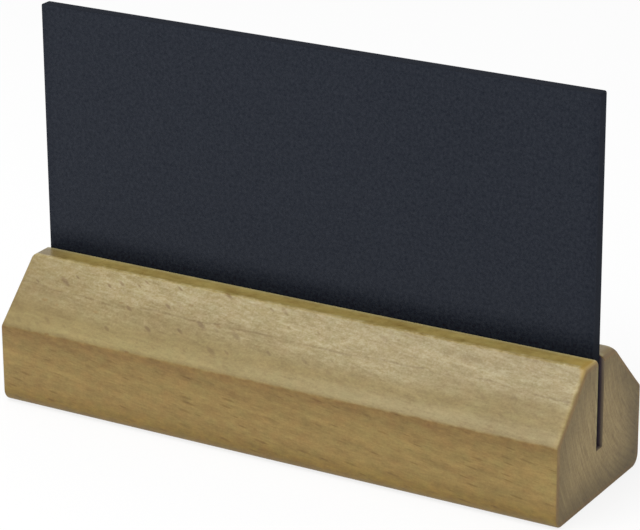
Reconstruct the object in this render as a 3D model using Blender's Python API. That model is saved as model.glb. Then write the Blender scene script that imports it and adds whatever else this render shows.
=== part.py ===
"""Table sign holder: a chamfered beech block with a saw slot that carries a chalkboard panel.

Lengths are in metres and +Z is up.  The block's length runs along X and the sign faces -Y.
The origin is the centre of the block's underside.
"""

import math

import bmesh
import bpy

# Block
BLOCK_LENGTH = 0.150
BLOCK_WIDTH = 0.043
BLOCK_HEIGHT = 0.034
SLOPE_RISE = 0.014
SLOPE_ANGLE = math.radians(45.0)
FOOT_RADIUS = 0.003
ARRIS_RADIUS = 0.0012
END_RADIUS = 0.0008

# Panel
PANEL_HEIGHT = 0.0837
PANEL_THICKNESS = 0.003
PANEL_CORNER_RADIUS = 0.0005
PANEL_EDGE_RADIUS = 0.00025
PANEL_END_INSET = 0.0012

# Slot
SLOT_DEPTH = 0.0222
SLOT_SIDE_CLEARANCE = 0.00015
SLOT_FLOOR_CLEARANCE = 0.0003
CUTTER_OVERSHOOT = 0.005

# Segments in each rounded edge
FOOT_SEGMENTS = 8
ARRIS_SEGMENTS = 5
END_SEGMENTS = 5
PANEL_CORNER_SEGMENTS = 4
PANEL_EDGE_SEGMENTS = 2

# Finishes: colour, roughness and metallic value
BEECH = ((0.352, 0.254, 0.115), 0.48, 0.0)
CHALKBOARD = ((0.025, 0.028, 0.037), 0.72, 0.0)

SMOOTH_ANGLE = math.radians(30.0)
SAME_PLACE = 1e-6


def clear_scene():
    """Removes every object that the file holds."""
    for scene_object in list(bpy.data.objects):
        bpy.data.objects.remove(scene_object, do_unlink=True)


def make_material(name, finish):
    """Makes a Principled material from a colour, a roughness and a metallic value."""
    colour, roughness, metallic = finish
    material = bpy.data.materials.new(name)
    material.use_nodes = True
    shader = material.node_tree.nodes["Principled BSDF"]
    shader.inputs["Base Color"].default_value = (*colour, 1.0)
    shader.inputs["Roughness"].default_value = roughness
    shader.inputs["Metallic"].default_value = metallic
    return material


def make_object(name, shape, finish=None):
    """Turns a bmesh into a linked object, shaded smooth except across its sharp edges."""
    bmesh.ops.recalc_face_normals(shape, faces=shape.faces)
    mesh = bpy.data.meshes.new(name)
    shape.to_mesh(mesh)
    shape.free()
    mesh.shade_smooth()
    mesh.set_sharp_from_angle(angle=SMOOTH_ANGLE)
    if finish is not None:
        mesh.materials.append(make_material(name, finish))
    made = bpy.data.objects.new(name, mesh)
    bpy.context.scene.collection.objects.link(made)
    return made


def extrude_section(corners, length):
    """Extrudes a closed (y, z) section along X, centred on x = 0."""
    shape = bmesh.new()
    start = [shape.verts.new((-length / 2, y, z)) for y, z in corners]
    section = shape.faces.new(start)
    grown = bmesh.ops.extrude_face_region(shape, geom=[section])
    moved = [item for item in grown["geom"] if isinstance(item, bmesh.types.BMVert)]
    bmesh.ops.translate(shape, verts=moved, vec=(length, 0.0, 0.0))
    return shape


def round_edges(shape, edges, radius, segments, turn=math.pi / 2):
    """Rounds edges to a radius, where the surface turns by the given angle.

    The arc starts radius * tan(turn / 2) away from the edge.
    """
    bmesh.ops.bevel(
        shape,
        geom=edges,
        offset=radius * math.tan(turn / 2),
        offset_type="OFFSET",
        segments=segments,
        profile=0.5,
        affect="EDGES",
        clamp_overlap=True,
    )


def edges_along(shape, axis):
    """The edges that run parallel to one axis."""
    across = [index for index in range(3) if index != axis]
    found = []
    for edge in shape.edges:
        low, high = (vertex.co for vertex in edge.verts)
        if all(abs(low[index] - high[index]) < SAME_PLACE for index in across):
            found.append(edge)
    return found


def edges_at(shape, axis, distance):
    """The edges whose two ends lie the given distance from the origin along one axis, on either side."""
    return [
        edge
        for edge in shape.edges
        if abs(edge.verts[0].co[axis] - edge.verts[1].co[axis]) < SAME_PLACE
        and all(abs(abs(vertex.co[axis]) - distance) < SAME_PLACE for vertex in edge.verts)
    ]


def block_section():
    """The block's six section corners: upright sides, a slope above each, and a flat top."""
    half_width = BLOCK_WIDTH / 2
    side_height = BLOCK_HEIGHT - SLOPE_RISE
    half_top = half_width - SLOPE_RISE / math.tan(SLOPE_ANGLE)
    right = [(half_width, 0.0), (half_width, side_height), (half_top, BLOCK_HEIGHT)]
    left = [(-y, z) for y, z in reversed(right)]
    return right + left


def slot_width():
    """The panel's thickness with a clearance on either side."""
    return PANEL_THICKNESS + 2 * SLOT_SIDE_CLEARANCE


def slot_floor():
    """Height of the slot's floor above the underside."""
    return BLOCK_HEIGHT - SLOT_DEPTH


def make_slot_cutter(parent):
    """The saw cut: a strip that overshoots the block at both ends and above its top."""
    half = slot_width() / 2
    top = BLOCK_HEIGHT + CUTTER_OVERSHOOT
    section = [(half, slot_floor()), (half, top), (-half, top), (-half, slot_floor())]
    cutter = make_object("slot_cutter", extrude_section(section, BLOCK_LENGTH + 2 * CUTTER_OVERSHOOT))
    cutter.parent = parent
    cutter.hide_render = True
    cutter.display_type = "WIRE"
    return cutter


def make_wooden_base(parent):
    """The block: moulded section, rounded along its length, eased round both ends, then slotted."""
    shape = extrude_section(block_section(), BLOCK_LENGTH)
    long_edges = edges_along(shape, axis=0)
    feet = [edge for edge in long_edges if edge.verts[0].co.z < SAME_PLACE]
    below_slope = [edge for edge in long_edges if SAME_PLACE < edge.verts[0].co.z < BLOCK_HEIGHT - SAME_PLACE]
    above_slope = [edge for edge in long_edges if edge not in feet and edge not in below_slope]
    round_edges(shape, above_slope, ARRIS_RADIUS, ARRIS_SEGMENTS, turn=SLOPE_ANGLE)
    round_edges(shape, below_slope, ARRIS_RADIUS, ARRIS_SEGMENTS, turn=math.pi / 2 - SLOPE_ANGLE)
    round_edges(shape, feet, FOOT_RADIUS, FOOT_SEGMENTS)
    round_edges(shape, edges_at(shape, axis=0, distance=BLOCK_LENGTH / 2), END_RADIUS, END_SEGMENTS)
    base = make_object("wooden_base", shape, BEECH)
    base.parent = parent
    slot = base.modifiers.new("slot", "BOOLEAN")
    slot.operation = "DIFFERENCE"
    slot.solver = "EXACT"
    slot.object = make_slot_cutter(parent)
    return base


def make_chalkboard_panel(parent):
    """The panel: a plate with small round corners and eased edges, its foot at its origin."""
    half_thickness = PANEL_THICKNESS / 2
    section = [
        (half_thickness, 0.0),
        (half_thickness, PANEL_HEIGHT),
        (-half_thickness, PANEL_HEIGHT),
        (-half_thickness, 0.0),
    ]
    shape = extrude_section(section, BLOCK_LENGTH - 2 * PANEL_END_INSET)
    round_edges(shape, edges_along(shape, axis=1), PANEL_CORNER_RADIUS, PANEL_CORNER_SEGMENTS)
    round_edges(shape, edges_at(shape, axis=1, distance=half_thickness), PANEL_EDGE_RADIUS, PANEL_EDGE_SEGMENTS)
    panel = make_object("chalkboard_panel", shape, CHALKBOARD)
    panel.parent = parent
    panel.location.z = slot_floor() + SLOT_FLOOR_CLEARANCE
    return panel


def main():
    """Builds the block and stands the panel in its slot."""
    clear_scene()
    holder = bpy.data.objects.new("sign_holder", None)
    bpy.context.scene.collection.objects.link(holder)
    make_wooden_base(holder)
    make_chalkboard_panel(holder)


if __name__ == "__main__":
    main()
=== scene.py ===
"""Dresses the table sign holder: a beech block, the chalkboard panel in its slot and a white studio.

Lengths are in metres.  The block's length runs along X, the sign faces -Y and the table is z = 0.
"""

import math
from functools import partial, reduce

import bmesh
import bpy
import numpy as np
from bpy.props import FloatProperty, FloatVectorProperty, PointerProperty
from mathutils import Matrix, Vector


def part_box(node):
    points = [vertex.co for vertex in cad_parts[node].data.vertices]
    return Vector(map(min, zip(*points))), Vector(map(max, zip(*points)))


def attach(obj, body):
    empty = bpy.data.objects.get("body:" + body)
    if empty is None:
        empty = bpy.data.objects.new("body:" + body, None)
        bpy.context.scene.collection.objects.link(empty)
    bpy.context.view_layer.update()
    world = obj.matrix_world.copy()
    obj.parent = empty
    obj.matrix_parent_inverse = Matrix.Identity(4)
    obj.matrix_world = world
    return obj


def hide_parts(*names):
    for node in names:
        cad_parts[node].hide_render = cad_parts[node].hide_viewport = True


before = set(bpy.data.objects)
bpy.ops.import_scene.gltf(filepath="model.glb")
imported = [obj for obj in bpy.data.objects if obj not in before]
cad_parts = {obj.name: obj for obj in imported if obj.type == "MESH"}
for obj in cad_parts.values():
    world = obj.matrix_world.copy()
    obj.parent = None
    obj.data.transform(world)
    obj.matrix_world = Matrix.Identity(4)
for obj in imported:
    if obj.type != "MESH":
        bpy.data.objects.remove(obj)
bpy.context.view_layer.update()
BLOCK_LOW, BLOCK_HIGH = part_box("wooden_base")
PANEL_LOW, PANEL_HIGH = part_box("chalkboard_panel")

bl_info = {
    "name": "Table sign holder",
    "version": (1, 0, 0),
    "blender": (4, 5, 0),
    "location": "View3D > Sidebar > Sign holder",
    "description": "A chamfered beech block with a chalkboard panel standing in its saw slot",
    "category": "Add Mesh",
}

IMAGE_WIDTH = 640
MERGE_DISTANCE = 1e-6
SHARP_ANGLE = math.radians(35.0)
TINY = 1e-15
NEAR_CLIP = 0.01
FLOOR_POINTS = 9
FLOOR_DROP = 0.00002

# Colours of small places on the block and the panel
HONEY_CORNER = (0.335, 0.222, 0.052)
# Painted shade on the back of the flat top near the ends
BACK_FLAT_SHADE = (0.255, 0.175, 0.055)
# Painted highlight along the slot's lips
LIP_HIGHLIGHT = (0.50, 0.46, 0.25)
SLOT_END = (0.27, 0.21, 0.13)
SPECK = (0.5, 0.5, 0.5)

# What a lighter or a warmer place gains, as shares of the wood's red, green and blue
LIGHTER = (0.82, 1.0, 1.34)
WARMER = (0.16, -0.08, -0.10)

# What the wood's red, green and blue are multiplied by in places
# Painted shade: the sides grow darker and less blue towards the table
FOOT_SHADE = (0.73, 0.66, 0.23)
BELOW_ARRIS = (0.95, 0.89, 0.82)
LOWER_ARRIS = (0.84, 0.80, 0.71)
# Painted highlight on the flat top's edge above the slopes
CREST_HIGHLIGHT = (1.22, 1.22, 1.20)
# Painted shade on the end faces
END_SHADE = (0.40, 0.37, 0.22)
END_OUTLINE = (1.18, 1.02, 0.84)
END_LIP = (1.07, 1.16, 1.26)
# Painted highlight at the right end's rim
RIGHT_RIM_HIGHLIGHT = (1.12, 1.11, 1.05)
# Painted shade on the flat top's left end
LEFT_FLAT_SHADE = (0.55, 0.54, 0.62)
# Painted shade on the ridge behind the slot
BACK_RIDGE_SHADE = (0.80, 0.78, 0.78)


# Properties: what a user would change


class BlockProperties(bpy.types.PropertyGroup):
    """Sizes and colours of the beech block."""

    length: FloatProperty(
        name="Length", default=BLOCK_HIGH.x - BLOCK_LOW.x, unit="LENGTH",
        description="Length of the block along the slot",
    )
    width: FloatProperty(
        name="Width", default=BLOCK_HIGH.y - BLOCK_LOW.y, unit="LENGTH",
        description="Width of the block from front to back",
    )
    height: FloatProperty(
        name="Height", default=BLOCK_HIGH.z - BLOCK_LOW.z, unit="LENGTH",
        description="Height of the flat top above the table",
    )
    slope_rise: FloatProperty(
        name="Slope rise", default=0.014, unit="LENGTH",
        description="Height and depth of the 45 degree slopes",
    )
    slot_side_gap: FloatProperty(
        name="Slot side gap", default=0.00015, unit="LENGTH",
        description="Gap between the panel and each wall of the slot",
    )
    slot_floor_gap: FloatProperty(
        name="Slot floor gap", default=0.0003, unit="LENGTH",
        description="Gap between the panel's foot and the floor of the slot",
    )
    foot_radius: FloatProperty(
        name="Foot radius", default=0.003, unit="LENGTH",
        description="Radius of the two long edges on the table",
    )
    arris_radius: FloatProperty(
        name="Arris radius", default=0.0013, unit="LENGTH",
        description="Mean radius of the sanded edges above and below the slopes",
    )
    end_radius: FloatProperty(
        name="End radius", default=0.0009, unit="LENGTH",
        description="Mean radius of the sanded edges round both ends, larger towards the top",
    )
    corner_radius: FloatProperty(
        name="Corner radius", default=0.0030, unit="LENGTH",
        description="How much rounder the edges above the slopes are where they meet the ends",
    )
    mouth_radius: FloatProperty(
        name="Slot mouth radius", default=0.00025, unit="LENGTH",
        description="Radius of the two edges where the slot opens into the flat top",
    )
    grain_tilt: FloatProperty(
        name="Grain tilt", default=math.radians(9.0), subtype="ANGLE",
        description="How far the grain runs down towards the right end",
    )
    fleck_tilt: FloatProperty(
        name="Fleck tilt", default=math.radians(4.0), subtype="ANGLE",
        description="How far the mottling of the slopes runs down towards the right end",
    )
    ray_tilt: FloatProperty(
        name="Ray tilt", default=math.radians(30.0), subtype="ANGLE",
        description="How far the brown flecks on the slopes run down towards the right end",
    )
    pith: FloatVectorProperty(
        name="Pith", default=(0.038, 0.049), size=2, unit="LENGTH",
        description="Centre of the growth rings in the block's section, as Y and Z",
    )
    front: FloatVectorProperty(
        name="Sides", default=(0.254, 0.1665, 0.0438), subtype="COLOR",
        description="Colour of the upright front and back, cut along the rings",
    )
    # Paler and bluer than the sides: partly the wood's own colour, partly painted sheen
    slope: FloatVectorProperty(
        name="Slopes", default=(0.270, 0.204, 0.068), subtype="COLOR",
        description="Colour of the slopes, cut across the rings",
    )
    # Lighter than the sides: partly the wood's own colour, partly painted light from above
    flat: FloatVectorProperty(
        name="Flat top", default=(0.316, 0.233, 0.068), subtype="COLOR",
        description="Colour of the flat top on both sides of the slot",
    )
    streak: FloatVectorProperty(
        name="Ray streak", default=(0.71, 0.64, 0.46), subtype="COLOR",
        description="Share of the wood's colour that is left in a dark ray streak",
    )
    fleck: FloatVectorProperty(
        name="Ray fleck", default=(0.66, 0.56, 0.45), subtype="COLOR",
        description="Share of the wood's colour that is left in a brown fleck on the slopes",
    )
    end_grain: FloatVectorProperty(
        name="End grain", default=(0.2470, 0.1735, 0.0640), subtype="COLOR",
        description="Colour of the cut ends",
    )
    # Painted light: this lighter golden colour stands for light that the rounding at the right end
    # reflects
    honey: FloatVectorProperty(
        name="Honey", default=(0.390, 0.262, 0.058), subtype="COLOR",
        description="Colour at the front of the flat top's right end, where the lacquer is thick",
    )
    # Painted sheen: this pale colour, mixed into the slopes, stands for the lacquer's gloss and glints
    pale: FloatVectorProperty(
        name="Pale lacquer", default=(0.55, 0.48, 0.38), subtype="COLOR",
        description="Colour towards which the lacquer bleaches the upper slopes",
    )
    end_arris: FloatVectorProperty(
        name="End arris", default=(0.215, 0.138, 0.058), subtype="COLOR",
        description="Colour of the narrow brown line round the ends",
    )
    # Partly saw burn, partly painted shade of the slot's recess
    saw_burn_and_shade: FloatVectorProperty(
        name="Saw cut", default=(0.056, 0.039, 0.058), subtype="COLOR",
        description="Colour of the bare walls of the slot, browned by the saw",
    )


class PanelProperties(bpy.types.PropertyGroup):
    """Sizes and colours of the chalkboard panel."""

    corner_radius: FloatProperty(
        name="Corner radius", default=0.0005, unit="LENGTH",
        description="Radius of the panel's four corners",
    )
    edge_radius: FloatProperty(
        name="Edge radius", default=0.00025, unit="LENGTH",
        description="Radius of the eased edges round both faces",
    )
    # At the foot this darker board colour serves as painted shade
    board: FloatVectorProperty(
        name="Board", default=(0.0020, 0.0048, 0.0115), subtype="COLOR",
        description="Colour of the clean writing surface",
    )
    dust: FloatVectorProperty(
        name="Chalk haze", default=(0.0125, 0.0160, 0.0250), subtype="COLOR",
        description="Colour of the writing surface under the haze that wiping leaves",
    )
    grain: FloatVectorProperty(
        name="Grain", default=(0.0149, 0.0160, 0.0186), subtype="COLOR",
        description="Colour that the grain of the writing surface adds or takes away",
    )
    rim: FloatVectorProperty(
        name="Rim", default=(0.0220, 0.0250, 0.0330), subtype="COLOR",
        description="Colour of the sawn edges all round",
    )
    # Painted shade: over this height the panel's darker foot fades into the haze
    clear_height: FloatProperty(
        name="Clear height", default=0.0080, unit="LENGTH",
        description="Height above the block over which the haze fades in",
    )


class StageProperties(bpy.types.PropertyGroup):
    """Camera, light and floor."""

    azimuth: FloatProperty(
        name="Azimuth", default=math.radians(30.5765), subtype="ANGLE",
        description="Turn of the camera round the object, from the front towards the right end",
    )
    elevation: FloatProperty(
        name="Elevation", default=math.radians(20.4482), subtype="ANGLE",
        description="Angle of the camera above the table",
    )
    roll: FloatProperty(
        name="Roll", default=math.radians(0.3433), subtype="ANGLE",
        description="Turn of the camera about its own line of sight",
    )
    distance: FloatProperty(
        name="Distance", default=0.735568, unit="LENGTH",
        description="Distance from the camera to the point it aims at",
    )
    aim: FloatVectorProperty(
        name="Aim", default=(-0.00544, 0.012867, 0.037133), subtype="XYZ", unit="LENGTH",
        description="Point at the centre of the picture",
    )
    lens_pixels: FloatProperty(
        name="Lens", default=3084.88, subtype="PIXEL",
        description="Focal length in pixels of a picture 640 pixels wide",
    )
    key_direction: FloatVectorProperty(
        name="Key direction", default=(-0.10, -0.44, 0.89), subtype="DIRECTION",
        description="Direction from the object to the soft key light",
    )
    key_distance: FloatProperty(
        name="Key distance", default=1.0, unit="LENGTH",
        description="Distance of the key light",
    )
    key_width: FloatProperty(
        name="Key width", default=0.85, unit="LENGTH",
        description="Width of the square key light",
    )
    key_power: FloatProperty(
        name="Key power", default=7.0, unit="POWER",
        description="Power of the key light",
    )
    surround: FloatProperty(
        name="Surround", default=0.62,
        description="Strength of the even white light from all sides",
    )
    floor_width: FloatProperty(
        name="Floor width", default=6.0, unit="LENGTH",
        description="Width of the square floor",
    )
    floor_glow: FloatProperty(
        name="Floor glow", default=0.80, subtype="FACTOR",
        description="Share of plain white that the floor shows, the rest being lit by the lamps",
    )
    floor: FloatVectorProperty(
        name="Floor", default=(0.92, 0.92, 0.92), subtype="COLOR",
        description="Colour of the floor",
    )


# Surfaces


def wander(place, longest, seed, waves=5, ratio=0.66):
    """A smooth, repeatable wander between about -1 and 1.

    It is the mean of sine waves with phases drawn from the seed, each wave's length being the ratio
    times that of the one before.
    """
    lengths = longest * ratio ** np.arange(waves)
    phases = np.random.default_rng(seed).random(waves)
    turns = np.asarray(place)[..., None] / lengths + phases
    return np.sin(2 * np.pi * turns).mean(axis=-1) * math.sqrt(waves / 2)


def crossing(first_turn, first_offset, second_turn, second_offset):
    """Where two lines cross, each given by the angle of its normal n and its offset n . p."""
    spread = math.sin(second_turn - first_turn)
    across = (first_offset * math.sin(second_turn) - second_offset * math.sin(first_turn)) / spread
    up = (second_offset * math.cos(first_turn) - first_offset * math.cos(second_turn)) / spread
    return np.stack((across, up), axis=-1)


def rounded_outline(turns, offsets, radii, arc_steps, face_steps):
    """Straight faces joined by round corners, as an array (stations, points, 2) of outlines.

    A face is the line n . p = offset, with its outward normal n at its turn.  A corner's arc is centred
    where its two faces cross when each is moved in by the radius.  Its points are
    centre + radius * n(turn), while turn goes from one face to the next.  With as many faces as
    corners, the last face closes the outline.
    """
    arcs = []
    for corner, steps in enumerate(arc_steps):
        first, second = turns[corner], turns[corner + 1]
        radius = radii[corner]
        centre = crossing(first, offsets[corner] - radius, second, offsets[corner + 1] - radius)
        turn = np.linspace(first, second, steps + 1)
        normal = np.stack((np.cos(turn), np.sin(turn)), axis=-1)
        arcs.append(centre[:, None, :] + radius[:, None, None] * normal[None, :, :])
    pieces = []
    for corner, steps in enumerate(face_steps):
        start = arcs[corner][:, -1:, :]
        end = arcs[(corner + 1) % len(arcs)][:, :1, :]
        share = (np.arange(1, steps) / steps)[None, :, None]
        pieces += [arcs[corner], start + share * (end - start)]
    if len(face_steps) < len(arc_steps):
        pieces.append(arcs[-1])
    return np.concatenate(pieces, axis=1)


def rounded_run(straight_steps, round_steps):
    """Stations along a bar with rounded ends, as four arrays: run, reach, draw and share.

    The run goes from -1 to 1 over the straight part and stays there.  In the rounded ends a turn goes
    from 0 to 90 degrees: reach = sin(turn), negative at the left end, draw = 1 - cos(turn), and
    share = turn / 90 degrees.
    """
    turn = np.linspace(0.0, np.pi / 2, round_steps + 1)[1:]
    middle = np.linspace(-1.0, 1.0, straight_steps + 1)
    still = np.zeros(straight_steps + 1)
    run = np.concatenate((-np.ones(round_steps), middle, np.ones(round_steps)))
    reach = np.concatenate((-np.sin(turn)[::-1], still, np.sin(turn)))
    draw = np.concatenate((1 - np.cos(turn)[::-1], still, 1 - np.cos(turn)))
    share = np.concatenate((turn[::-1], still, turn)) / (np.pi / 2)
    return run, reach, draw, share


def between(first, second, steps, crowding=1):
    """Rows strictly between two rows of points, on straight lines.

    A row's share of the way is 1 - (1 - s)^crowding, where s goes up in even steps, so the rows crowd
    towards the second one.
    """
    share = (1 - (1 - np.arange(1, steps) / steps) ** crowding)[:, None, None]
    return first[None] + share * (second - first)[None]


def sheet_faces(rows, columns, rows_closed=False, columns_closed=False):
    """Quads of a grid of points, whose last row or column may join the first."""
    row = np.arange(rows if rows_closed else rows - 1)[:, None]
    column = np.arange(columns if columns_closed else columns - 1)[None, :]
    following = (column + 1) % columns
    next_row = (row + 1) % rows
    corners = (row, column), (row, following), (next_row, following), (next_row, column)
    return np.stack([r * columns + c for r, c in corners], axis=-1).reshape(-1, 4)


def add_object(name, data):
    """Links a new object into the scene."""
    made = bpy.data.objects.new(name, data)
    bpy.context.scene.collection.objects.link(made)
    return made


def make_piece(name, sheet, faces, attributes, materials, finishes=None):
    """Turns a grid of points into an object, with merged seams and smooth faces that point outwards.

    finishes gives each face the number of its material.
    """
    mesh = bpy.data.meshes.new(name)
    mesh.from_pydata(sheet.reshape(-1, 3), [], faces)
    for label, values in attributes.items():
        layer = mesh.attributes.new(label, "FLOAT", "POINT")
        layer.data.foreach_set("value", np.ascontiguousarray(values, dtype=np.float32).ravel())
    for material in materials:
        mesh.materials.append(material)
    if finishes is not None:
        mesh.polygons.foreach_set("material_index", finishes.ravel())
    shape = bmesh.new()
    shape.from_mesh(mesh)
    bmesh.ops.remove_doubles(shape, verts=shape.verts, dist=MERGE_DISTANCE)
    bmesh.ops.recalc_face_normals(shape, faces=shape.faces)
    shape.to_mesh(mesh)
    shape.free()
    mesh.shade_smooth()
    mesh.set_sharp_from_angle(angle=SHARP_ANGLE)
    return add_object(name, mesh)


# Materials


class Nodes:
    """Adds and links the nodes of one shader tree."""

    def __init__(self, tree):
        self.tree = tree

    def feed(self, socket, value):
        """Links a socket to another one, or sets its value."""
        if isinstance(value, bpy.types.NodeSocket):
            self.tree.links.new(value, socket)
        elif socket.type == "RGBA":
            socket.default_value = (*value, 1.0)
        else:
            socket.default_value = value

    def add(self, kind, inputs, output=0, **settings):
        """Adds a shader node, sets it up and returns one of its outputs."""
        node = self.tree.nodes.new("ShaderNode" + kind)
        for key, value in settings.items():
            setattr(node, key, value)
        for key, value in inputs.items():
            self.feed(node.inputs[key], value)
        return node.outputs[output]

    def math(self, operation, *values):
        """A Math node."""
        return self.add("Math", dict(enumerate(values)), operation=operation)

    def vector(self, operation, *values):
        """A Vector Math node that gives a vector."""
        return self.add("VectorMath", dict(enumerate(values)), operation=operation)

    def attribute(self, label):
        """A value stored on the piece's points."""
        return self.add("Attribute", {}, output="Fac", attribute_name=label)

    def fade(self, value, start, end):
        """Smooth step from 0 at start to 1 at end."""
        inputs = {"Value": value, "From Min": start, "From Max": end}
        return self.add("MapRange", inputs, interpolation_type="SMOOTHSTEP")

    def spread(self, value, low, high):
        """Stretches a value between 0 and 1 to lie between low and high."""
        return self.add("MapRange", {"Value": value, "To Min": low, "To Max": high}, clamp=False)

    def noise(self, place, size, detail=2.0, roughness=0.5):
        """Noise between 0 and 1 whose lumps have the given size along each axis."""
        scaled = self.vector("DIVIDE", place, size)
        inputs = {"Vector": scaled, "Scale": 1.0, "Detail": detail, "Roughness": roughness}
        return self.add("TexNoise", inputs, output="Fac")

    def split(self, value):
        """The three parts of a vector."""
        return self.parts("SeparateXYZ", value)

    def parts(self, kind, value):
        """The three outputs of a node that takes a vector or a colour apart."""
        node = self.tree.nodes.new("ShaderNode" + kind)
        self.feed(node.inputs[0], value)
        return node.outputs[:3]

    def cells(self, place, size, dimensions="3D"):
        """Scattered cells of the given size: distance from a cell's middle, and its three numbers."""
        node = self.tree.nodes.new("ShaderNodeTexVoronoi")
        node.voronoi_dimensions = dimensions
        self.feed(node.inputs["Vector"], self.vector("DIVIDE", place, size))
        self.feed(node.inputs["Scale"], 1.0)
        return node.outputs["Distance"], self.parts("SeparateColor", node.outputs["Color"])

    def product(self, *values):
        """Several values multiplied together."""
        return reduce(partial(self.math, "MULTIPLY"), values)

    def total(self, *values):
        """Several values added together."""
        return reduce(partial(self.math, "ADD"), values)

    def rest(self, share):
        """What a share leaves of 1."""
        return self.math("SUBTRACT", 1.0, share)

    def off(self, value, centre):
        """How far a value is from a centre, on either side."""
        return self.math("ABSOLUTE", self.math("SUBTRACT", value, centre))

    def mix(self, share, first, second):
        """A colour the given share of the way from the first to the second."""
        # A Mix node's colours are its inputs 6 and 7 and its output 2
        return self.add("Mix", {0: share, 6: first, 7: second}, output=2, data_type="RGBA")

    def tint(self, colour, tone):
        """A colour made lighter or darker by a factor."""
        return self.add("VectorMath", {0: colour, "Scale": tone}, operation="SCALE")

    def paint(self, colour, *places):
        """A colour mixed in turn with the colour of each place, by that place's share."""
        for share, coat in places:
            colour = self.mix(share, colour, coat)
        return colour

    def stain(self, colour, *places):
        """A colour multiplied in turn by the factor of each place, by that place's share."""
        for share, factor in places:
            colour = self.mix(share, colour, self.vector("MULTIPLY", colour, factor))
        return colour

    def bump(self, height, depth):
        """A normal for a surface raised by height times depth."""
        return self.add("Bump", {"Height": height, "Distance": depth, "Strength": 1.0})

    def background_share(self):
        """1 for rays that show the background itself: from the camera, and in gloss and glass."""
        path = self.tree.nodes.new("ShaderNodeLightPath")
        rays = "Is Camera Ray", "Is Glossy Ray", "Is Transmission Ray"
        return reduce(partial(self.math, "MAXIMUM"), (path.outputs[ray] for ray in rays))


class Finish(Nodes):
    """The nodes of one material."""

    def __init__(self, name):
        self.material = bpy.data.materials.new(name)
        self.material.use_nodes = True
        super().__init__(self.material.node_tree)
        self.shader = self.tree.nodes["Principled BSDF"]

    def surface(self, inputs):
        """Links or sets the shader's own sockets, and returns the material."""
        for name, value in inputs.items():
            self.feed(self.shader.inputs[name], value)
        return self.material


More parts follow.
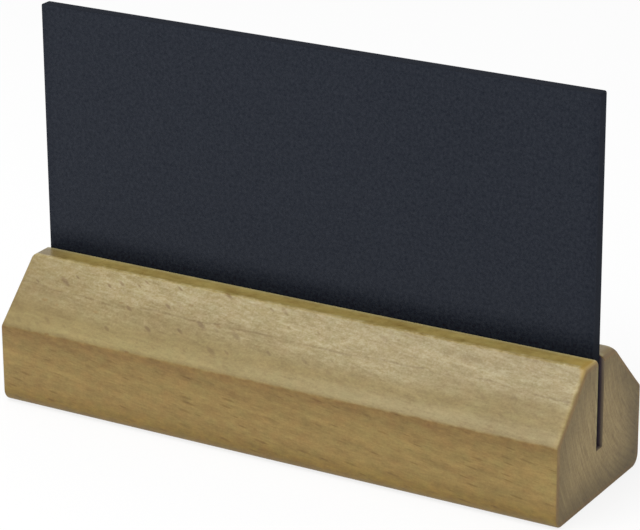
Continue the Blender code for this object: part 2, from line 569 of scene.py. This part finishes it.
class Beech(Finish):
    """Satin lacquered beech: soft bands and ray flecks, mottled slopes paled by painted sheen, less
    glossy cut ends and a bare slot, both darkened in places by painted shade.

    Shares from 0 to 1 tell where a point lies: upright, sloped and level on the sides, slopes and flat
    top, crest_highlight on the arris above a slope, where a painted highlight goes, upper on the part
    of a slope with painted sheen, and end_share and slot_share on the cut ends and in the slot.
    """

    def __init__(self, block):
        super().__init__("beech")
        self.block = block
        self.plain = self.add("TexCoord", {}, output="Object")
        self.along, self.across, self.height = self.split(self.plain)
        self.off_middle = self.math("ABSOLUTE", self.across)
        self.out = self.math("ABSOLUTE", self.along)
        self.place = self.log_place()
        self.end_share = self.attribute("end_share")
        self.slot_share = self.attribute("slot_share")
        self.depth = self.attribute("depth")
        self.side = self.rest(self.end_share)
        self.left_end = self.zone(along=(-0.045, -0.068))
        self.lay_patterns()
        self.find_places()

    def lay_patterns(self):
        """The wood's noises: broad and narrow bands, fibres, clouds, blotches and speckles."""
        tilt = (0.0, -self.block.fleck_tilt, 0.0)
        slanted = self.add("Mapping", {"Vector": self.plain, "Rotation": tilt})
        self.broad = self.noise(self.place, (0.045, 0.0050, 0.0040), detail=3.0)
        self.bands = self.noise(self.place, (0.060, 0.0015, 0.0014), detail=2.0)
        self.fibre = self.noise(self.place, (0.006, 0.0003, 0.0003), detail=2.0, roughness=0.6)
        self.cloud = self.noise(self.plain, (0.0070, 0.0030, 0.0030), detail=2.0)
        self.blotch = self.noise(slanted, (0.0034, 0.0040, 0.0015), detail=3.0, roughness=0.6)
        streaky = self.noise(slanted, (0.0022, 0.0026, 0.00045), detail=3.0, roughness=0.7)
        grit = self.noise(self.plain, (0.0006, 0.0006, 0.0006), detail=2.0, roughness=0.7)
        self.speckle = self.total(self.product(streaky, 0.75), self.product(grit, 0.50), -0.125)

    def find_places(self):
        """Shares of the places, by the normal's upward part, the height and the distance from the slot.

        Blotches and notches wear the slopes' lower edge, most of the notches towards the left end.
        """
        self.upward = self.attribute("upward")
        rim = self.block.width / 2 - self.block.slope_rise
        notches = self.product(
            self.rays(self.plain_place(0.0), (0.0080, 0.0040, 1.0), 0.16, 0.8),
            self.spread(self.zone(along=(0.03, -0.04)), -0.12, -0.38),
        )
        worn = self.total(self.upward, self.spread(self.blotch, -0.22, 0.22), notches)
        self.sloped = self.fade(worn, 0.12, 0.60)
        self.upright = self.rest(self.sloped)
        self.level = self.zone(upward=(0.80, 0.95), off_middle=(rim - 0.0006, rim - 0.0012))
        self.not_level = self.rest(self.level)
        # Painted highlight: the flat top's edge over the upper arris is lightened
        self.crest_highlight = self.zone(upward=(0.76, 0.92), off_middle=(rim - 0.0012, rim - 0.0006))
        self.wavy_height = self.total(
            self.height, self.spread(self.broad, -0.004, 0.004), self.product(self.along, 0.008)
        )
        self.upper = self.zone(self.sloped, self.side, wavy_height=(0.0225, 0.0305))

    def zone(self, *factors, **limits):
        """Factors multiplied together, with a smooth step between two limits of each named value."""
        steps = (self.fade(getattr(self, name), *pair) for name, pair in limits.items())
        return self.product(*steps, *factors)

    def log_place(self):
        """Where in the log a point lies: length along the grain, arc round the rings and radius.

        Object coordinates are turned by the grain's tilt and moved to the pith.  The arc is measured at
        the radius of the block's middle.
        """
        block = self.block
        middle_radius = math.hypot(block.pith[0], block.pith[1] - block.height / 2)
        move = (0.0, -block.pith[0], -block.pith[1])
        tilt = (0.0, -block.grain_tilt, 0.0)
        turned = self.add("Mapping", {"Vector": self.plain, "Location": move, "Rotation": tilt})
        along, across, up = self.split(turned)
        section = self.add("CombineXYZ", {"Y": across, "Z": up})
        radius = self.add("VectorMath", {0: section}, output="Value", operation="LENGTH")
        turn = self.math("ARCTAN2", up, self.math("MULTIPLY", across, -1.0))
        arc = self.math("MULTIPLY", turn, middle_radius)
        return self.add("CombineXYZ", {"X": along, "Y": arc, "Z": radius})

    def plain_place(self, tilt):
        """Length along the block and distance up the slope, turned down towards the right end."""
        up = self.product(self.math("SUBTRACT", self.height, self.off_middle), math.sqrt(0.5))
        unrolled = self.add("CombineXYZ", {"X": self.along, "Y": up})
        return self.add("Mapping", {"Vector": unrolled, "Rotation": (0.0, 0.0, tilt)})

    def rays(self, place, size, thickness, kept, ramp=0.6):
        """Ribbons of ray cells that run out from the pith: 1 inside a strong one and 0 elsewhere.

        They are spots on the length along the grain and the arc, so a face cut along the rings shows
        short spindles.  The size is that of the cells that hold one each, the thickness is a share of
        it, kept tells how many show and a longer ramp leaves more of them faint.
        """
        distance, drawn = self.cells(place, size, dimensions="2D")
        reach = self.spread(drawn[0], 0.5 * thickness, 1.5 * thickness)
        spot = self.fade(self.math("DIVIDE", distance, reach), 1.0, 0.30)
        return self.product(spot, self.fade(drawn[1], 1.0 - kept, 1.0 - kept + ramp))

    def vary(self, colour, change, gain=LIGHTER):
        """A colour that gains the change times a share of its own red, green and blue."""
        return self.vector("MULTIPLY_ADD", colour, self.tint(gain, change), colour)

    def mottle(self):
        """Changes of tone by pattern: more bands on the sides and more clouds on the slopes."""
        return self.total(
            self.spread(self.broad, -0.12, 0.12),
            self.product(self.spread(self.bands, -0.24, 0.24), self.spread(self.sloped, 1.0, 0.7)),
            self.product(self.spread(self.blotch, -1.0, 1.0), self.spread(self.sloped, 0.32, 0.20)),
            self.spread(self.fibre, -0.06, 0.06),
            self.product(
                self.spread(self.speckle, -1.0, 1.0),
                self.spread(self.product(self.left_end, self.sloped), 0.455, 0.30),
            ),
            self.product(
                self.spread(self.cloud, -1.0, 1.0), self.spread(self.upper, 0.14, 0.18), self.sloped
            ),
            self.product(self.spread(self.cloud, -0.15, 0.15), self.level),
        )

    def long_faces(self):
        """Colour of the sides, slopes and flat top: bands, fibres, mottling and ray flecks, with
        painted sheen and glints on the slopes, a painted highlight on their top arris and painted shade
        and light in places.
        """
        block = self.block
        # Painted sheen: pale grey glints and gloss mixed into the upper slopes, less at the left end,
        # and a faint share on the lower slopes
        glint_pattern = self.total(self.spread(self.speckle, -0.9, 1.5), self.spread(self.cloud, -0.3, 0.3))
        painted_sheen = self.product(
            glint_pattern, self.upper, self.not_level, self.spread(self.left_end, 0.30, 0.22)
        )
        lower_sheen = self.zone(self.sloped, 0.10, height=(0.0240, 0.0215), along=(-0.045, 0.050))
        colour = self.mix(self.sloped, block.front, block.slope)
        colour = self.paint(colour, (self.level, block.flat), (painted_sheen, block.pale), (lower_sheen, block.pale))
        colour = self.vary(colour, self.total(self.mottle(), self.shade()))
        tinge = self.noise(self.plain, (0.0032, 0.0032, 0.0024), detail=1.0)
        warmth = self.product(self.spread(tinge, -0.5, 0.5), self.spread(self.sloped, 1.0, 0.5))
        colour = self.vary(colour, warmth, WARMER)
        streaks = self.product(self.rays(self.place, (0.0110, 0.00095, 1.0), 0.17, 0.75), self.upright)
        fine = self.product(
            self.rays(self.place, (0.0036, 0.0005, 1.0), 0.22, 0.90),
            self.spread(self.sloped, 0.28, 0.10),
        )
        return self.stain(
            colour,
            # Painted shade: the sides darken towards the table
            (self.zone(self.upright, height=(0.0080, 0.0)), FOOT_SHADE),
            (self.zone(self.upright, height=(0.0172, 0.0190)), BELOW_ARRIS),
            (self.fade(self.off(self.height, 0.0202), 0.0008, 0.0), LOWER_ARRIS),
            # Painted highlight on the arris above the slopes
            (self.product(self.crest_highlight, self.side), CREST_HIGHLIGHT),
            (self.product(self.total(streaks, fine), self.side), block.streak),
            (self.flecks(), block.fleck),
        )

    def flecks(self):
        """Brown ray flecks on the slopes, most towards the left end and few beside the lower arris."""
        place = self.plain_place(self.block.ray_tilt)
        spots = self.rays(place, (0.0075, 0.0024, 1.0), 0.24, 0.45, ramp=0.20)
        shown = self.spread(self.zone(along=(0.03, -0.03)), 0.35, 1.0)
        off_arris = self.spread(self.zone(height=(0.0215, 0.0250)), 0.35, 1.0)
        return self.product(spots, self.sloped, self.not_level, self.side, shown, off_arris)

    def shade(self):
        """Changes of tone by place.

        The wood is darker under the lower arris, below the sheen-painted part of the slopes and in fine
        cracks there, along the slopes' top towards the right, and beside them on the flat top.  Painted
        shade darkens the slopes' left end, and painted light makes the right end paler.
        """
        below_arris = self.zone(
            self.upright, self.spread(self.along, -0.165, -0.665), height=(0.0130, 0.0180)
        )
        band = self.zone(
            self.zone(wavy_height=(0.0205, 0.0235)), self.sloped, -0.18, wavy_height=(0.0310, 0.0255)
        )
        bend = self.spread(self.noise(self.along, (0.03, 1.0, 1.0)), 0.0262, 0.0304)
        seam = self.fade(self.off(self.height, bend), 0.00032, 0.0)
        cracks = self.zone(seam, self.sloped, -0.28, cloud=(0.35, 0.55))
        low_half = self.spread(self.upper, 0.5, 1.0)
        # Painted shade: the slopes' left end darker
        painted_shade_left = self.zone(low_half, self.sloped, self.not_level, -0.16, along=(-0.042, -0.070))
        top_row = self.zone(
            self.sloped, self.not_level, self.spread(self.along, 0.0, -1.8), height=(0.0300, 0.0322)
        )
        # Painted light: the upper slopes and the sides paler towards the right end
        painted_light_right = self.total(
            self.zone(self.upper, 0.05, along=(0.060, 0.0735)),
            self.zone(self.upright, 0.085, along=(0.063, 0.073)),
        )
        beside_slope = self.zone(self.level, -0.07, off_middle=(0.0040, 0.0064))
        return self.total(below_arris, band, cracks, painted_shade_left, top_row, painted_light_right, beside_slope)

    def end_face(self):
        """Colour of a cut end: faint rings and pores, with painted shade darkening it towards its
        outline, foot and back.
        """
        rings = self.noise(self.place, (0.02, 0.009, 0.00055), detail=2.0)
        pores = self.noise(self.plain, (0.002, 0.0006, 0.0006), detail=3.0, roughness=0.7)
        change = self.total(
            self.spread(rings, -0.54, 0.54),
            self.spread(self.broad, -0.15, 0.15),
            self.spread(pores, -0.48, 0.48),
        )
        # Painted shade: the end face darker towards its outline, its foot and its back
        painted_end_shade = self.total(
            self.zone(0.58, depth=(0.0125, 0.0)),
            self.zone(0.30, height=(0.0100, 0.0)),
            self.zone(0.34, across=(0.006, 0.0215)),
        )
        outline = self.zone(depth=(0.0017, 0.0009))
        beside_slot = self.fade(self.off(self.across, -0.0020), 0.0006, 0.0002)
        lip = self.zone(beside_slot, height=(0.0115, 0.0125))
        colour = self.vary(self.block.end_grain, change)
        return self.stain(colour, (painted_end_shade, END_SHADE), (outline, END_OUTLINE), (lip, END_LIP))

    def edges(self, colour):
        """Adds what sanding, lacquer and handling leave at the edges, and painted light and shade
        there.

        The right end's rim carries a painted highlight, and the front of the flat top's right end is
        painted lighter and golden as painted light, with honey-coloured lacquer at the corner where the
        slope meets the end.  Painted shade darkens the flat top at its left end, and at its back where
        it meets the ends.
        A brown line runs round the ends, painted shade darkens the ridge behind the slot there, and the
        slot's lips carry a pale painted highlight.
        """
        block = self.block
        end = block.length / 2
        lean = 0.6
        to_front = self.zone(height=(0.0300, 0.0325), across=(0.002, -0.002))
        # Painted highlight: a bright line where the slopes round into the right end
        rim = self.zone(self.sloped, along=(end - 0.0016, end - 0.0008), end_share=(0.45, 0.2))
        # Painted light: the front of the flat top's right end made lighter and golden
        golden_light = self.zone(self.level, self.side, 0.45, to_front, along=(end - 0.011, end - 0.0005))
        leaned = self.product(self.height, lean)
        from_corner = self.total(self.along, leaned, -end - lean * block.height)
        near_corner = self.fade(from_corner, -0.0023, -0.0013)
        corner = self.zone(near_corner, self.sloped, 0.9, to_front, end_share=(0.75, 0.50))
        # Painted shade: the flat top darker at its left end
        left_flat_shade = self.zone(self.level, along=(-0.062, -0.0735))
        # Painted shade: a darker, warmer colour over the back of the flat top near the ends
        back_flat_shade = self.zone(self.level, 0.85, out=(end - 0.0060, end - 0.0025), across=(0.0, 0.002))
        line = self.zone(
            self.zone(end_share=(1.0, 0.9)),
            self.spread(to_front, 0.8, 0.4),
            self.spread(self.sloped, 0.5, 1.0),
            end_share=(0.32, 0.65),
        )
        # Painted shade: the ridge behind the slot darkened where the key light falls on it
        shaded_ridge = self.zone(
            self.zone(end_share=(1.0, 0.7)),
            self.zone(across=(0.0, 0.002), height=(0.029, 0.031)),
            end_share=(0.05, 0.3),
        )
        # Painted highlight: a pale line along the slot's lips on the flat top
        lip = self.zone(self.level, 0.40, off_middle=(0.0034, 0.0018))
        colour = self.stain(colour, (rim, RIGHT_RIM_HIGHLIGHT))
        colour = self.paint(colour, (golden_light, block.honey), (corner, HONEY_CORNER))
        colour = self.stain(colour, (left_flat_shade, LEFT_FLAT_SHADE))
        colour = self.paint(colour, (back_flat_shade, BACK_FLAT_SHADE), (line, block.end_arris))
        colour = self.stain(colour, (shaded_ridge, BACK_RIDGE_SHADE))
        return self.paint(colour, (lip, LIP_HIGHLIGHT))

    def slot_walls(self):
        """Colour of the sawn slot: saw burn and painted shade make it dark inside, lighter over the
        last millimetre before the ends.
        """
        end = self.block.length / 2
        # Saw burn and painted shade inside, lighter near the ends where light reaches in
        sawn = self.tint(self.block.saw_burn_and_shade, self.spread(self.fibre, 0.6, 1.4))
        return self.mix(self.zone(out=(end - 0.0012, end + 0.0001)), sawn, SLOT_END)


def beech_finish(block):
    """The block's material."""
    wood = Beech(block)
    colour = wood.mix(wood.fade(wood.end_share, 0.45, 0.9), wood.long_faces(), wood.end_face())
    colour = wood.mix(wood.slot_share, wood.edges(colour), wood.slot_walls())
    roughness = wood.total(
        wood.spread(wood.sloped, 0.50, 0.55),
        wood.spread(wood.upper, 0.0, -0.17),
        wood.spread(wood.end_share, 0.0, 0.12),
        wood.spread(wood.speckle, -0.10, 0.10),
    )
    relief = wood.total(
        wood.product(wood.speckle, wood.spread(wood.upper, 0.3, 1.0)), wood.product(wood.fibre, 0.5)
    )
    normal = wood.bump(relief, depth=0.00005)
    return wood.surface({"Base Color": colour, "Roughness": roughness, "Normal": normal, "IOR": 1.5})


def board_finish(panel):
    """Matte charcoal board: fine grain, a few specks and a haze of chalk, darker within 4 mm of the
    left and right ends.  Painted shade darkens its foot and painted light makes it lighter towards the
    left end.
    """
    finish = Finish("chalkboard")
    plain = finish.add("TexCoord", {}, output="Object")
    along, _, height = finish.split(plain)
    grain = finish.noise(plain, (0.0008, 0.0008, 0.0008), detail=3.0, roughness=0.8)
    wiped = finish.noise(plain, (0.050, 0.02, 0.018), detail=4.0)
    # Painted shade: the panel's foot is left darker, up to the clear height above the block
    above_foot_shade = finish.fade(height, BLOCK_HIGH.z + 0.001, BLOCK_HIGH.z + panel.clear_height)
    from_edge = finish.math("SUBTRACT", PANEL_HIGH.x, finish.math("ABSOLUTE", along))
    # Less haze within 4 mm of the left and right ends, so the panel is darker there
    darker_near_ends = finish.spread(finish.fade(from_edge, 0.0, 0.004), 0.7, 1.0)
    # Painted light: the panel a little lighter towards its left end
    painted_light_to_left = finish.spread(finish.fade(along, -0.075, 0.075), 1.03, 0.94)
    # The haze share also carries the painted shade at the foot and the painted light towards the left
    # end
    haze = finish.product(above_foot_shade, darker_near_ends, painted_light_to_left, finish.spread(wiped, 0.85, 1.15))
    colour = finish.mix(haze, panel.board, panel.dust)
    colour = finish.vector("ADD", colour, finish.tint(panel.grain, finish.spread(grain, -1.35, 1.35)))
    distance, drawn = finish.cells(plain, (0.012, 0.012, 0.012))
    speck = finish.product(finish.fade(distance, 0.022, 0.012), finish.fade(drawn[0], 0.6, 0.9), 0.12)
    return finish.surface(
        {
            "Base Color": finish.mix(speck, colour, SPECK),
            "Roughness": finish.spread(grain, 0.40, 0.50),
            "Normal": finish.bump(grain, depth=0.00003),
            "Specular IOR Level": 0.15,
        }
    )


def rim_finish(panel):
    """Sawn fibreboard edge, dark through and without gloss: short fibres along the edge, with painted
    shade at the foot and along the top.
    """
    finish = Finish("chalkboard rim")
    plain = finish.add("TexCoord", {}, output="Object")
    height = finish.split(plain)[2]
    fibre = finish.noise(plain, (0.0020, 0.0002, 0.0006), detail=3.0)
    # Painted shade: the rim darker towards the foot
    above_foot_shade = finish.fade(height, BLOCK_HIGH.z, BLOCK_HIGH.z + panel.clear_height)
    # Painted shade: the top edge darkened against the light from above
    top = finish.fade(height, PANEL_HIGH.z - 0.0008, PANEL_HIGH.z - 0.0003)
    tone = finish.product(
        finish.spread(fibre, 0.6, 1.4), finish.spread(above_foot_shade, 0.6, 1.05), finish.spread(top, 1.0, 0.76)
    )
    return finish.surface(
        {
            "Base Color": finish.tint(panel.rim, tone),
            "Roughness": finish.spread(fibre, 0.85, 1.0),
            "Normal": finish.bump(fibre, depth=0.00004),
            "Specular IOR Level": 0.02,
        }
    )


# Pieces


def block_faces(block):
    """Turns and offsets of the faces round the block's section, from one slot wall to the other."""
    half_slot = (PANEL_HIGH.y - PANEL_LOW.y) / 2 + block.slot_side_gap
    half_width = block.width / 2
    slope_offset = (half_width - block.slope_rise + block.height) / math.sqrt(2)
    turns = np.radians((0, 90, 135, 180, 270, 360, 405, 450, 540))
    side = (-half_slot, block.height, slope_offset, half_width)
    return turns, (*side, 0.0, *reversed(side))


def block_sheet(block):
    """The block's whole skin as one sheet of points, with the attributes that its finish reads.

    A column starts at the slot's front lip and goes round the outside to the back lip.  The rows run
    along the outside from the left end to the right, across the right end face to the slot, back
    through the slot, and across the left end face.  Towards the ends each face is drawn in by its own
    share of the end radius, and each corner's rounding starts its own share of that radius before the
    end.  The end faces are straight lines from the outside to the slot, whose walls and floor have the
    same share of the columns as the front, underside and back.  The lips of both surfaces are the same
    points.
    """
    arc_steps = (3, 6, 6, 12, 12, 6, 6, 3)
    face_steps = (6, 22, 18, 24, 18, 22, 6)
    end_rows = 10
    face_shares = (0.0, 1.2, 0.8, 0.5, 0.5, 0.5, 0.8, 1.5, 0.0)
    corner_shares = (1.2, 1.6, 0.55, 0.5, 0.5, 0.55, 3.0, 2.2)
    run, reach, draw, share = rounded_run(straight_steps=180, round_steps=10)
    turns, offsets = block_faces(block)
    drawn = block.end_radius * np.outer(face_shares, draw)
    radii = corner_radii(block, run, draw, drawn)
    section = rounded_outline(turns, np.array(offsets)[:, None] - drawn, radii, arc_steps, face_steps)
    columns = section.shape[1]
    middles = np.cumsum((0, *np.add(arc_steps[:-1], face_steps))) + np.array(arc_steps) / 2
    rounding = np.interp(np.arange(columns), middles, block.end_radius * np.array(corner_shares))
    place = np.outer(run, block.length / 2 - rounding) + np.outer(reach, rounding)
    outside = np.concatenate((place[..., None], section), axis=2)

    foot_column = sum(arc_steps[:4]) + sum(face_steps[:3])
    corners = (0, foot_column, columns - 1 - foot_column, columns - 1)
    half_slot = -offsets[0]
    across = np.interp(np.arange(columns), corners, (-half_slot, -half_slot, half_slot, half_slot))
    depth = np.interp(np.arange(columns), corners, (0.0, 1.0, 1.0, 0.0))
    to_front = np.arange(columns) < columns / 2
    lip = np.where(to_front, section[:, :1, 1], section[:, -1:, 1])
    floor = PANEL_LOW.z - block.slot_floor_gap
    slot = np.stack((place, np.broadcast_to(across, place.shape), lip + depth * (floor - lip)), axis=-1)

    right = between(outside[-1], slot[-1], end_rows)
    left = between(slot[0], outside[0], end_rows)
    sheet = np.concatenate((outside, right, slot[::-1], left))
    on_end = np.ones(end_rows - 1)
    at_end = np.isclose(share, 1.0)
    end_share = np.concatenate((share, on_end, at_end, on_end))
    slot_share = np.concatenate((0.0 * share, 0.0 * on_end, ~at_end, 0.0 * on_end))
    attributes = {
        "end_share": np.broadcast_to(end_share[:, None], sheet.shape[:2]),
        "slot_share": np.broadcast_to(slot_share[:, None], sheet.shape[:2]),
        "upward": upward(sheet),
        "depth": depth_inside(sheet, turns[1:-1], offsets[1:-1]),
    }
    return sheet, attributes


def corner_radii(block, run, draw, drawn):
    """Radius of each of the section's corners at every station.

    The sanded arrises wander by a share of their mean, the lower ones more.  Each loses what its two
    faces are drawn in by, down to a least radius.  The upper ones grow again by the corner radius times
    the draw, and the front one less than the back.
    """
    least = 0.2 * block.arris_radius
    front_growth = 0.15
    long_wave, short_wave = 0.021, 0.005
    wander_shares = {1: 0.06, 2: 0.10, 5: 0.10, 6: 0.06}
    place = run * block.length / 2
    lost = (drawn[:-1] + drawn[1:]) / 2
    mouth = np.full(len(run), block.mouth_radius)
    foot = np.full(len(run), block.foot_radius)
    radii = [mouth, None, None, foot - lost[3], foot - lost[4], None, None, mouth]
    for seed, (corner, share) in enumerate(wander_shares.items()):
        second_seed = seed + len(wander_shares)
        change = wander(place, long_wave, seed) + wander(place, short_wave, second_seed)
        radii[corner] = np.maximum(block.arris_radius * (1 + share * change) - lost[corner], least)
    radii[1] += front_growth * block.corner_radius * draw
    radii[6] += block.corner_radius * draw
    return radii


def upward(sheet):
    """Upward part of the normal: 1 on the flat top, about 0.7 on the slopes and 0 on the sides.

    The normal is the cross product of the sheet's steps along its columns and rows.
    """
    normal = np.cross(np.gradient(sheet, axis=1), np.gradient(sheet, axis=0))
    return normal[..., 2] / (np.linalg.norm(normal, axis=-1) + TINY)


def depth_inside(sheet, turns, offsets):
    """Depth of each point inside the block's section: the least of offset - n . p over its faces."""
    normals = np.stack((np.cos(turns), np.sin(turns)))
    return (np.array(offsets) - sheet[..., 1:] @ normals).min(axis=-1)


def panel_sheet(panel):
    """The panel's whole skin as one sheet of points, and the rows of faces that make its rim.

    A column goes round the panel's rounded rectangle.  The rows run from the front face's middle line
    out to its edge, through the thickness with rounded edges, and in over the back face to its middle
    line.
    """
    corner_steps = (6, 6, 6, 6)
    side_steps = (40, 60, 40, 60)
    face_rows = 8
    run, reach, draw, _ = rounded_run(straight_steps=4, round_steps=4)
    place = run * ((PANEL_HIGH.y - PANEL_LOW.y) / 2 - panel.edge_radius) + reach * panel.edge_radius
    inset = panel.edge_radius * draw
    middle = (PANEL_LOW + PANEL_HIGH) / 2
    half = (PANEL_HIGH - PANEL_LOW) / 2
    turns = np.radians((-90, 0, 90, 180, 270))
    offsets = np.array((half.z, half.x, half.z, half.x, half.z))
    radii = [panel.corner_radius - inset] * 4
    outline = rounded_outline(turns, offsets[:, None] - inset, radii, corner_steps, side_steps)
    depth = np.broadcast_to((middle.y + place)[:, None], outline.shape[:2])
    rim = np.stack((middle.x + outline[..., 0], depth, middle.z + outline[..., 1]), axis=-1)
    half_spine = half.x - half.z
    spine = rim[0].copy()
    spine[:, 0] = np.clip(spine[:, 0], middle.x - half_spine, middle.x + half_spine)
    spine[:, 2] = middle.z
    back_spine = spine.copy()
    back_spine[:, 1] = rim[-1, :, 1]
    front = between(spine, rim[0], face_rows, crowding=2)
    back = between(back_spine, rim[-1], face_rows, crowding=2)[::-1]
    sheet = np.concatenate((spine[None], front, rim, back, back_spine[None]))
    return sheet, slice(face_rows, face_rows + len(rim) - 1)


# Stage


def make_camera(stage):
    """A long lens aimed at the object, with no shift."""
    camera = bpy.data.cameras.new("camera")
    camera.sensor_fit = "HORIZONTAL"
    camera.lens = stage.lens_pixels / IMAGE_WIDTH * camera.sensor_width
    camera.clip_start = NEAR_CLIP
    holder = add_object("camera", camera)
    turn = (
        Matrix.Rotation(stage.azimuth, 4, "Z")
        @ Matrix.Rotation(math.pi / 2 - stage.elevation, 4, "X")
        @ Matrix.Rotation(-stage.roll, 4, "Z")
    )
    back = turn.col[2].to_3d()
    holder.matrix_world = Matrix.Translation(Vector(stage.aim) + stage.distance * back) @ turn
    bpy.context.scene.camera = holder


def make_key_light(stage):
    """One large soft lamp above the front left."""
    lamp = bpy.data.lights.new("key", "AREA")
    lamp.shape = "SQUARE"
    lamp.size = stage.key_width
    lamp.energy = stage.key_power
    holder = add_object("key", lamp)
    direction = Vector(stage.key_direction).normalized()
    turn = direction.to_track_quat("Z", "Y").to_matrix().to_4x4()
    holder.matrix_world = Matrix.Translation(direction * stage.key_distance) @ turn


def make_surround(stage):
    """Even white light from all sides, which shows as plain white."""
    world = bpy.data.worlds.new("surround")
    bpy.context.scene.world = world
    world.use_nodes = True
    nodes = Nodes(world.node_tree)
    background = nodes.tree.nodes["Background"].inputs
    nodes.feed(background["Color"], (1.0, 1.0, 1.0))
    strength = nodes.add("Mix", {0: nodes.background_share(), 2: stage.surround, 3: 1.0})
    nodes.feed(background["Strength"], strength)


def floor_finish(stage):
    """A pale floor lit by the lamps, mixed with plain white for the rays that show the background."""
    finish = Finish("floor")
    finish.surface({"Base Color": stage.floor, "Roughness": 1.0, "Specular IOR Level": 0.0})
    glow = finish.add("Emission", {"Strength": 1.0})
    share = finish.math("MULTIPLY", finish.background_share(), stage.floor_glow)
    shown = finish.add("MixShader", {0: share, 1: finish.shader.outputs[0], 2: glow})
    finish.feed(finish.tree.nodes["Material Output"].inputs["Surface"], shown)
    return finish.material


def make_floor(stage):
    """A plain square floor just below z = 0 that shows white and keeps the object's shadow."""
    half = stage.floor_width / 2
    edge = np.linspace(-half, half, FLOOR_POINTS)
    x, y = np.meshgrid(edge, edge)
    points = np.stack((x, y, np.full(x.shape, -FLOOR_DROP)), axis=-1)
    mesh = bpy.data.meshes.new("floor")
    mesh.from_pydata(points.reshape(-1, 3), [], sheet_faces(FLOOR_POINTS, FLOOR_POINTS))
    mesh.materials.append(floor_finish(stage))
    floor = add_object("floor", mesh)


# Operators


class SIGN_OT_block(bpy.types.Operator):
    """Makes the beech block"""

    bl_idname = "sign_holder.block"
    bl_label = "Beech block"

    def execute(self, context):
        block = context.scene.sign_block
        sheet, attributes = block_sheet(block)
        faces = sheet_faces(*sheet.shape[:2], rows_closed=True)
        piece = make_piece("beech_block", sheet, faces, attributes, [beech_finish(block)])
        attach(piece, "base")
        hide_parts("wooden_base")
        return {"FINISHED"}


class SIGN_OT_panel(bpy.types.Operator):
    """Makes the chalkboard panel"""

    bl_idname = "sign_holder.panel"
    bl_label = "Chalkboard panel"

    def execute(self, context):
        panel = context.scene.sign_panel
        sheet, rim_rows = panel_sheet(panel)
        rows, columns = sheet.shape[:2]
        faces = sheet_faces(rows, columns, columns_closed=True)
        finishes = np.zeros((rows - 1, columns), dtype=np.int32)
        finishes[rim_rows] = 1
        materials = [board_finish(panel), rim_finish(panel)]
        piece = make_piece("chalkboard", sheet, faces, {}, materials, finishes)
        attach(piece, "panel")
        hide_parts("chalkboard_panel")
        return {"FINISHED"}


class SIGN_OT_stage(bpy.types.Operator):
    """Makes the camera, the lights and the white floor"""

    bl_idname = "sign_holder.stage"
    bl_label = "Stage"

    def execute(self, context):
        stage = context.scene.sign_stage
        make_camera(stage)
        make_key_light(stage)
        make_surround(stage)
        make_floor(stage)
        context.scene.view_settings.view_transform = "Standard"
        return {"FINISHED"}


class VIEW3D_PT_sign_holder(bpy.types.Panel):
    """Lists the pieces and the stage in the sidebar"""

    bl_label = "Sign holder"
    bl_space_type = "VIEW_3D"
    bl_region_type = "UI"
    bl_category = "Sign holder"

    def draw(self, context):
        for operator, group in zip(OPERATORS, GROUPS):
            box = self.layout.box()
            box.operator(operator.bl_idname)
            settings = getattr(context.scene, group)
            for name in settings.__annotations__:
                box.prop(settings, name)


OPERATORS = (SIGN_OT_block, SIGN_OT_panel, SIGN_OT_stage)
GROUPS = {"sign_block": BlockProperties, "sign_panel": PanelProperties, "sign_stage": StageProperties}
CLASSES = (*GROUPS.values(), *OPERATORS, VIEW3D_PT_sign_holder)


def register():
    """Registers the classes and gives the scene its properties."""
    for item in CLASSES:
        bpy.utils.register_class(item)
    for name, group in GROUPS.items():
        setattr(bpy.types.Scene, name, PointerProperty(type=group))


def unregister():
    """Takes the properties and the classes away again."""
    for name in GROUPS:
        delattr(bpy.types.Scene, name)
    for item in reversed(CLASSES):
        bpy.utils.unregister_class(item)


def main():
    """Makes the pieces and the stage."""
    register()
    bpy.ops.sign_holder.block()
    bpy.ops.sign_holder.panel()
    bpy.ops.sign_holder.stage()


if __name__ == "__main__":
    main()
